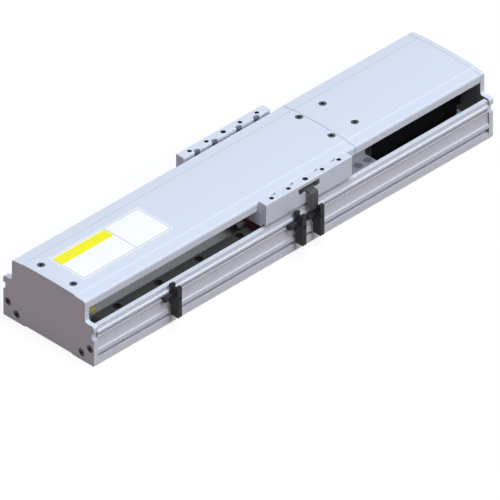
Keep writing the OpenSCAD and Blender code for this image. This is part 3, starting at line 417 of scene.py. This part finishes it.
# holes whose depth is shown by shade: rows along both sides, spaced from a centre
carriageLow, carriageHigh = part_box("carriage")
wingMiddle = (carriageLow[0] + carriageHigh[0]) / 2
wingTop = carriageHigh[2]
tappedHoles = {
    "pitch": 25 * mm, "first": 0.0, "centre": wingMiddle, "row": 61 * mm, "radius": 3.3 * mm,
    "top": wingTop - 0.35 * mm, "fade": 0.01 * mm, "shade": (0.085, 0.088, 0.095),
}
boltCuts = {
    "pitch": 26 * mm, "first": 18 * mm, "centre": wingMiddle, "row": 55 * mm, "radius": 4.06 * mm,
    "top": wingTop + 3 * mm, "fade": 12 * mm, "shade": (0.012, 0.012, 0.014),
}
railBores = {
    "pitch": 60 * mm, "first": 30 * mm, "centre": -87 * mm, "row": 42 * mm, "radius": 4.5 * mm,
    "top": 60 * mm, "fade": 0.1 * mm, "shade": (0.01, 0.01, 0.01),
}
coverHoles = {
    "pitch": 1.0, "first": 0.0, "row": 24 * mm, "radius": 4.3 * mm,
    "top": cadHigh[2] + 1 * mm, "fade": 0.1 * mm, "shade": (0.01, 0.01, 0.012),
}
coverScrewLow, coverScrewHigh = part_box("cover_screws")
headRadius = 3.8 * mm
coverScrewPlaces = (coverScrewLow[0] + headRadius, 97.8 * mm, 132.8 * mm)
coverSocketTop = coverScrewHigh[2] - 0.5 * mm

# shades between pieces that stand close together
wingGap = {
    "row": 55.45 * mm, "inner": 54.6 * mm, "low": 66 * mm, "shade": (0.08, 0.08, 0.09),
    "layers": (
        {"top": wingTop - 0.7 * mm, "fade": 0.25 * mm, "share": 0.15},
        {"top": wingTop - 3.3 * mm, "fade": 0.5 * mm, "share": 0.4},
    ),
}
coverCrease = {
    "place": 38.5 * mm, "width": 0.5 * mm, "tint": 0.62, "share": 0.6, "zone": 2 * mm, "calm": 0.85,
}
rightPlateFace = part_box("right_end_plate")[0][0]
coverSeams = (
    {"place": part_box("main_cover")[1][0], "width": 0.35 * mm, "share": 0.55, "shade": (0.16, 0.17, 0.19)},
    {"place": rightPlateFace, "width": 0.35 * mm, "share": 0.5, "shade": (0.2, 0.21, 0.24)},
)
# painted shade on the right plate's inner face
rightPlateInnerShade = {"place": rightPlateFace, "layer": 0.2 * mm, "share": 1.0, "shade": (0.24, 0.235, 0.235)}
# painted shade on the left plate's outer face, darker and redder as less light falls there
leftPlateFaceShade = {
    "place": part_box("left_end_plate")[0][0], "layer": 0.2 * mm, "share": 0.3, "shade": (0.465, 0.29, 0.293),
}
# painted light: the channel between the rails is coloured brighter to stand for light that hardly reaches it
channelLight = {"row": 31.9 * mm, "low": 14 * mm, "colour": (0.90, 0.96, 1.0)}
coverWorks = {
    "crease": coverCrease, "seams": coverSeams,
    "bores": [{**coverHoles, "centre": x} for x in coverScrewPlaces],
}

# a finish for each material slot, then the nodes that have one of their own
finishes = {
    "anodised_plate": anodisedPlate("anodisedPlate"),
    "anodised_profile": anodisedExtrusion("anodisedProfile", (0.74, 0.77, 0.84), channelLight),
    "cast_housing": groundSteel("machinedHousing", (0.57, 0.59, 0.66), 0.5, 0.1, (1, 1, 3)),
    "rail_steel": groundSteel("hardenedRail", (0.15, 0.155, 0.143), 0.38, 0.3, (0.1, 4, 4), (railBores,)),
    "bright_steel": groundSteel("brightSteel", (0.50, 0.51, 0.53), 0.3, 0.8),
    "black_screw": blackedSteel("blackedScrew", (0.12, 0.127, 0.14), 0.38),
    "block_steel": groundSteel("groundBlock", (0.30, 0.30, 0.305), 0.4, 0.4, (0.3, 2, 2)),
    "gear_steel": groundSteel("gearSteel", (0.32, 0.32, 0.33), 0.35, 0.9),
    "pulley_metal": groundSteel("pulleyMetal", (0.42, 0.43, 0.45), 0.35, 0.85),
    "belt_rubber": beltRubber("beltRubber"),
    "bumper_yellow": mouldedPlastic("bumperYellow", (0.62, 0.60, 0.16), 0.45),
    "cap_red": mouldedPlastic("capRed", (0.16, 0.035, 0.045), 0.4),
    "motor_black": powderCoat("motorBlack", motor["colour"], 0.6, motor["shine"]),
    "flag_black": powderCoat("flagBlack", (0.09, 0.09, 0.088), 0.42, 0.45),
    "sensor_black": mouldedPlastic("sensorBlack", (0.021, 0.020, 0.021), 0.45),
}
ownFinishes = {
    "carriage": anodisedPlate("anodisedCarriage", (tappedHoles, boltCuts), gap=wingGap),
    "right_end_plate": anodisedPlate("anodisedEnd", face=rightPlateInnerShade),
    "left_end_plate": anodisedPlate("anodisedLeftEnd", face=leftPlateFaceShade),
    "rail_screws": blackedSteel("railScrews", (0.05, 0.052, 0.055), 0.4),
    "cover_screws": blackedSteel("coverScrews", (0.15, 0.16, 0.18), 0.38, coverSocketTop),
    "motor_body": motorPaint("motorPaint"),
    "drive_housing_screws": mouldedPlastic("plugGrey", (0.27, 0.287, 0.325), 0.5),
    "main_cover": anodisedPlate("anodisedCover", label=True, **coverWorks),
    "motor_cover": anodisedPlate("anodisedMotorCover", **coverWorks),
}
slotOfNode = {part["node"]: part["material_slot"] for part in frame["record"]["subparts"]}
for node, thing in frame["nodes"].items():
    thing.data.materials.clear()
    thing.data.materials.append(ownFinishes.get(node, finishes[slotOfNode[node]]))
print("finishes set:", len(finishes), "by slot,", len(ownFinishes), "by node")


# stage: the background is white for the camera, a plain tone for the object's light,
# and part of the white shows in metal
stage = {
    "floorSize": 6.0, "floorDrop": 0.2 * mm, "floorTone": (0.245, 0.2, 0.19), "floorRough": 0.9,
    "glow": 0.83, "mirror": 0.3, "sky": (1.0, 0.66, 0.6), "skyStrength": 0.155, "white": (1, 1, 1),
}
lamps = {
    "overhead": {"strength": 2.36, "toward": (0.0, 0.1, -1), "colour": (0.755, 0.875, 1.0), "spread": 40},
    "frontFill": {"strength": 1.3, "toward": (0.04, 1, -1.0), "colour": (0.965, 0.988, 1.0), "spread": 24},
}
camera = {
    "lens": 1500.0, "sensor": 36.0, "width": 527.2 * mm, "clipStart": 1.0, "clipFactor": 3,
    "target": Vector((1.0 * mm, 0.4 * mm, -33.3 * mm)), "back": Vector((-1, -1, 1)).normalized(),
}


def addObject(name, data):
    thing = bpy.data.objects.new(name, data)
    bpy.context.collection.objects.link(thing)
    return thing


def aim(thing, toward):
    thing.rotation_mode = "QUATERNION"
    thing.rotation_quaternion = toward.to_track_quat("-Z", "Y")


def whiteShare(graph):
    # 1 for camera rays, a part for reflections, 0 for the light on the object
    rays = graph.node("ShaderNodeLightPath").outputs
    seen, mirrored = Wire(graph, rays["Is Camera Ray"]), Wire(graph, rays["Is Glossy Ray"])
    return (seen + mirrored * stage["mirror"]).clipped()


def makeFloor():
    data = bpy.data.meshes.new("floor")
    size, z = stage["floorSize"], cadLow[2] - stage["floorDrop"]
    corners = [(-size, -size, z), (size, -size, z), (size, size, z), (-size, size, z)]
    data.from_pydata(corners, [], [(0, 1, 2, 3)])
    made = Shader("floorPaper", Roughness=stage["floorRough"], Metallic=0.0, Specular_IOR_Level=0.0)
    share = whiteShare(made)
    made.feed("Base Color", made.blend(share, stage["floorTone"], stage["white"]))
    glow = made.node("ShaderNodeEmission", None, {"Color": stage["white"], "Strength": 1.0}).outputs[0]
    inputs = {0: share * stage["glow"], 1: made.surface.outputs[0], 2: glow}
    mixed = made.node("ShaderNodeMixShader", None, inputs).outputs[0]
    made.plug(made.output.inputs["Surface"], mixed)
    data.materials.append(made.material)
    addObject("floor", data)


def makeWorld():
    world = bpy.data.worlds.new("studio")
    bpy.context.scene.world = world
    world.use_nodes = True
    graph = Graph(world.node_tree)
    inputs = {"Color": stage["sky"], "Strength": stage["skyStrength"]}
    sky = graph.node("ShaderNodeBackground", None, inputs).outputs[0]
    white = graph.node("ShaderNodeBackground", None, {"Color": stage["white"], "Strength": 1.0}).outputs[0]
    mixed = graph.node("ShaderNodeMixShader", None, {0: whiteShare(graph), 1: sky, 2: white}).outputs[0]
    graph.node("ShaderNodeOutputWorld", None, {"Surface": mixed})


def makeLamp(name, settings):
    data = bpy.data.lights.new(name, "SUN")
    data.energy = settings["strength"]
    data.angle = math.radians(settings["spread"])
    data.color = settings["colour"]
    aim(addObject(name, data), Vector(settings["toward"]))


def makeCamera():
    data = bpy.data.cameras.new("camera")
    data.lens = camera["lens"]
    data.sensor_width = camera["sensor"]
    distance = camera["width"] * camera["lens"] / camera["sensor"]
    data.clip_start = camera["clipStart"]
    data.clip_end = camera["clipFactor"] * distance
    thing = addObject("camera", data)
    thing.location = camera["target"] + camera["back"] * distance
    aim(thing, -camera["back"])
    bpy.context.scene.camera = thing


makeFloor()
makeWorld()
for lampName, lampSettings in lamps.items():
    makeLamp(lampName, lampSettings)
makeCamera()
bpy.context.scene.view_settings.view_transform = "Standard"
print("stage set:", len(lamps), "lamps")
